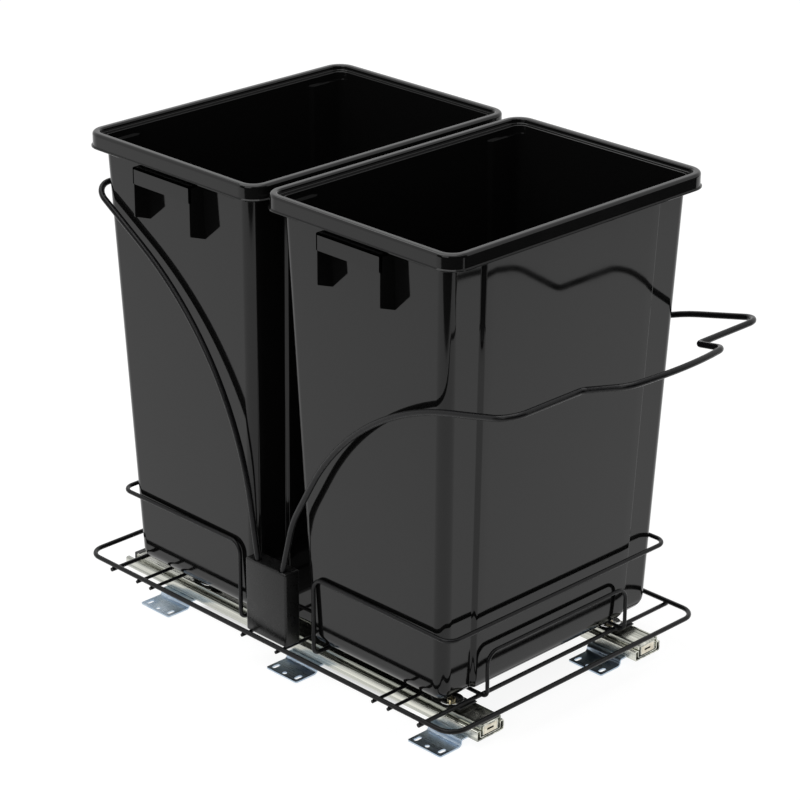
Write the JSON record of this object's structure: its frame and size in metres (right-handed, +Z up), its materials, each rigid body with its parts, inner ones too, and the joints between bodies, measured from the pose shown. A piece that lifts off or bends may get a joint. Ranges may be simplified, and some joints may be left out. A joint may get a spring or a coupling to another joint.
{
  "type": "pull-out bin frame",
  "caption": "Welded wire carriage on full-extension ball-bearing slides with a pull handle, a rear hoop and lift-out waste bins, screwed to a cabinet floor by slotted feet.",
  "frame": {"origin": "on the cabinet floor, under the middle of the whole part's outline", "axes": "+Z up, -Y is the pull-out direction towards the cabinet's front, +X to the right seen from the front"},
  "size_m": [0.37, 0.6678, 0.517],
  "materials": {
    "wire_coat": "satin black powder coat",
    "strap_coat": "satin black paint",
    "bin_plastic": "gloss black moulded",
    "cover_plastic": "satin black moulded",
    "slide_steel": "bright zinc-plated, drawn lengthways",
    "rail_steel": "bright zinc-plated strip",
    "bracket_steel": "blue zinc-plated pressing",
    "rivet_steel": "plain steel",
    "screw_steel": "yellow zinc-plated",
    "dish_steel": "bright plated",
    "post_steel": "black coated",
    "ball_steel": "polished bearing steel",
    "cage_steel": "pressed strip",
    "bumper_plastic": "black moulded"
  },
  "bodies": {
    "rails": {"bracket_rivets": "rivet_steel", "outer_member_left": "slide_steel", "rear_bumper_left": "bumper_plastic", "floor_bracket_left_1": "bracket_steel", "floor_bracket_left_2": "bracket_steel", "floor_bracket_left_3": "bracket_steel", "outer_member_right": "slide_steel", "rear_bumper_right": "bumper_plastic", "floor_bracket_right_1": "bracket_steel", "floor_bracket_right_2": "bracket_steel", "floor_bracket_right_3": "bracket_steel"},
    "carriage": {"base_ring": "wire_coat", "cross_wire_1": "wire_coat", "cross_wire_2": "wire_coat", "cross_wire_3": "wire_coat", "cross_wire_4": "wire_coat", "cross_wire_5": "wire_coat", "cross_wire_6": "wire_coat", "cross_wire_7": "wire_coat", "cross_wire_8": "wire_coat", "lower_hoop_front": "wire_coat", "lower_hoop_rear": "wire_coat", "front_guard": "wire_coat", "pull_handle": "wire_coat", "rear_hoop": "wire_coat", "screw_dishes": "dish_steel", "frame_screws": "screw_steel", "hoop_post_left": "post_steel", "post_screws_left": "screw_steel", "side_cover_left": "cover_plastic", "inner_member_left": "slide_steel", "carrier_rail_left": "rail_steel", "frame_strap_left_front": "strap_coat", "frame_strap_left_rear": "strap_coat", "hoop_post_right": "post_steel", "post_screws_right": "screw_steel", "side_cover_right": "cover_plastic", "inner_member_right": "slide_steel", "carrier_rail_right": "rail_steel", "frame_strap_right_front": "strap_coat", "frame_strap_right_rear": "strap_coat"},
    "middle_left": {"middle_member_left": "slide_steel"},
    "outer_row_left": {"outer_cage_left": "cage_steel", "outer_balls_left": "ball_steel"},
    "inner_row_left": {"inner_cage_left": "cage_steel", "inner_balls_left": "ball_steel"},
    "middle_right": {"middle_member_right": "slide_steel"},
    "outer_row_right": {"outer_cage_right": "cage_steel", "outer_balls_right": "ball_steel"},
    "inner_row_right": {"inner_cage_right": "cage_steel", "inner_balls_right": "ball_steel"},
    "bin_front": {"bin_front": "bin_plastic"},
    "bin_rear": {"bin_rear": "bin_plastic"}
  },
  "joints": [
    {"name": "carriage_slide", "type": "slide", "parent": "rails", "child": "carriage", "axis": [0, -1, 0], "range_m": [0, 0.5]},
    {"name": "middle_left_slide", "type": "slide", "parent": "rails", "child": "middle_left", "axis": [0, -1, 0], "range_m": [0, 0.25]},
    {"name": "outer_row_left_slide", "type": "slide", "parent": "rails", "child": "outer_row_left", "axis": [0, -1, 0], "range_m": [0, 0.125]},
    {"name": "inner_row_left_slide", "type": "slide", "parent": "rails", "child": "inner_row_left", "axis": [0, -1, 0], "range_m": [0, 0.375]},
    {"name": "middle_right_slide", "type": "slide", "parent": "rails", "child": "middle_right", "axis": [0, -1, 0], "range_m": [0, 0.25]},
    {"name": "outer_row_right_slide", "type": "slide", "parent": "rails", "child": "outer_row_right", "axis": [0, -1, 0], "range_m": [0, 0.125]},
    {"name": "inner_row_right_slide", "type": "slide", "parent": "rails", "child": "inner_row_right", "axis": [0, -1, 0], "range_m": [0, 0.375]},
    {"name": "bin_front_lift", "type": "slide", "parent": "carriage", "child": "bin_front", "axis": [0, 0, 1], "range_m": [0, 0.48]},
    {"name": "bin_rear_lift", "type": "slide", "parent": "carriage", "child": "bin_rear", "axis": [0, 0, 1], "range_m": [0, 0.48]}
  ],
  "couplings": [
    {"joint": "middle_left_slide", "follows": "carriage_slide", "ratio": 0.5},
    {"joint": "outer_row_left_slide", "follows": "carriage_slide", "ratio": 0.25},
    {"joint": "inner_row_left_slide", "follows": "carriage_slide", "ratio": 0.75},
    {"joint": "middle_right_slide", "follows": "carriage_slide", "ratio": 0.5},
    {"joint": "outer_row_right_slide", "follows": "carriage_slide", "ratio": 0.25},
    {"joint": "inner_row_right_slide", "follows": "carriage_slide", "ratio": 0.75}
  ]
}
